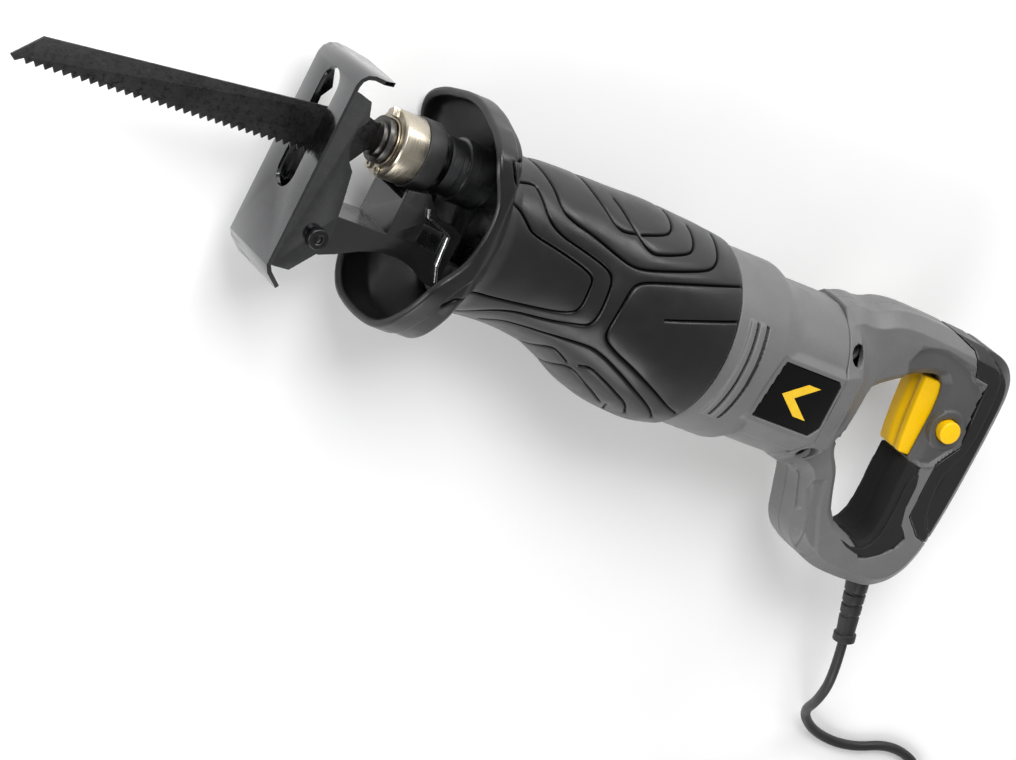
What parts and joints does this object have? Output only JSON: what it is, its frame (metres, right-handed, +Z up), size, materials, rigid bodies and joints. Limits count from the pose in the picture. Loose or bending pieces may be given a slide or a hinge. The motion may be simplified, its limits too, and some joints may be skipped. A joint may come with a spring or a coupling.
{
  "type": "reciprocating saw",
  "caption": "Corded reciprocating saw with slotted pivoting shoe, keyless blade collar, rubber front grip, D-handle with trigger and lock button, and coiled cord.",
  "frame": {"origin": "middle of the saw's bounding box at the table it lies on, without its cord", "axes": "saw lies on its right side: +X from the blade towards the handle, +Y towards the saw's top, +Z up, out of the saw's left side"},
  "size_m": [0.6588, 0.3568, 0.0924],
  "materials": {
    "boot_rubber": "satin moulded rubber, black",
    "housing_grey": "fine textured glass-filled plastic, mid grey",
    "cover_black": "satin black plastic",
    "pad_grey": "soft-touch dark grey rubber",
    "accent_yellow": "glossy yellow plastic",
    "badge_gloss": "gloss black label with a plain chevron",
    "shoe_steel": "glossy black plated sheet steel",
    "arm_black": "satin black painted steel",
    "blade_steel": "dark oxide blade steel",
    "collar_nickel": "brushed nickel",
    "ring_rubber": "matt black rubber",
    "tool_steel": "ground steel",
    "bolt_black": "black oxide steel",
    "case_alu": "die-cast aluminium, dark coated",
    "bronze": "sintered bronze",
    "copper": "enamelled copper",
    "laminations": "stacked electrical steel",
    "fan_plastic": "black nylon",
    "carbon": "pressed carbon",
    "nylon_white": "white nylon",
    "cord_black": "matt black cable sheath",
    "pin_brass": "nickel-plated brass"
  },
  "bodies": {
    "body": {"arm_screws": "bolt_black", "arm_wire_clip": "tool_steel", "badge_plate": "badge_gloss", "bearing_plate": "case_alu", "brush_holders": "bronze", "capacitor": "accent_yellow", "carbon_brushes": "carbon", "cord": "cord_black", "cord_clamp": "cover_black", "cord_clamp_screws": "tool_steel", "cord_coil": "cord_black", "cord_inner": "cord_black", "cord_tail": "cord_black", "cord_tie": "cover_black", "dust_seal": "ring_rubber", "field_windings": "copper", "front_grip_boot": "boot_rubber", "gear_bearing": "tool_steel", "gear_case_lower": "case_alu", "gear_case_upper": "case_alu", "grip_pad_left": "pad_grey", "grip_pad_right": "pad_grey", "handle_back_cover": "cover_black", "handle_left": "housing_grey", "handle_right": "housing_grey", "handle_screws": "bolt_black", "motor_front_bearing": "tool_steel", "motor_housing": "housing_grey", "motor_rear_bearing": "tool_steel", "pivot_washers": "nylon_white", "plug_body": "cord_black", "plug_pins": "pin_brass", "plunger_front_bush": "bronze", "plunger_rear_bush": "bronze", "shoe_arm": "arm_black", "shoe_pivot_bolt": "bolt_black", "shoe_pivot_nut": "bolt_black", "stator_core": "laminations", "strain_relief": "cord_black", "trigger_switch": "cover_black"},
    "plunger_rod": {"plunger": "tool_steel", "clamp_nose": "bolt_black", "snap_ring": "collar_nickel", "blade_lock_pin": "tool_steel", "blade": "blade_steel", "collar_spring": "tool_steel"},
    "collar": {"collar_sleeve": "collar_nickel", "collar_grip_ring": "ring_rubber"},
    "shoe": {"shoe_plate": "shoe_steel"},
    "trigger": {"trigger": "accent_yellow"},
    "lock_button": {"lock_button": "accent_yellow"},
    "drive_gear": {"drive_gear": "tool_steel", "gear_shaft": "tool_steel", "crank_pin": "tool_steel", "crank_roller": "tool_steel"},
    "armature": {"armature_shaft": "tool_steel", "armature_core": "laminations", "armature_windings": "copper", "commutator": "copper", "cooling_fan": "fan_plastic"}
  },
  "joints": [
    {"name": "plunger_slide", "type": "slide", "parent": "body", "child": "plunger_rod", "axis": [1, 0, 0], "range_m": [-0.016, 0.004]},
    {"name": "collar_twist", "type": "hinge", "parent": "plunger_rod", "child": "collar", "pos_m": [-0.08495, 0.03915, 0.0462], "axis": [1, 0, 0], "range_deg": [0, 60], "stiffness_Nm_per_rad": 0.12, "springref_deg": -20.05},
    {"name": "shoe_pivot", "type": "hinge", "parent": "body", "child": "shoe", "pos_m": [-0.11345, -0.00685, 0.0462], "axis": [0, 0, 1], "range_deg": [-10, 15]},
    {"name": "trigger_pull", "type": "slide", "parent": "body", "child": "trigger", "axis": [1, 0, 0], "range_m": [0, 0.0065], "stiffness_N_per_m": 900, "springref_m": -0.003},
    {"name": "lock_button_press", "type": "slide", "parent": "body", "child": "lock_button", "axis": [0, 0, -1], "range_m": [0, 0.003], "stiffness_N_per_m": 500, "springref_m": -0.002},
    {"name": "armature_spin", "type": "hinge", "parent": "body", "child": "armature", "pos_m": [0.09105, 0.00985, 0.0462], "axis": [1, 0, 0], "continuous": true},
    {"name": "gear_spin", "type": "hinge", "parent": "body", "child": "drive_gear", "pos_m": [-0.00095, 0.01915, 0.0462], "axis": [0, 1, 0], "continuous": true}
  ],
  "couplings": [
    {"joint": "gear_spin", "follows": "armature_spin", "ratio": -0.2}
  ]
}
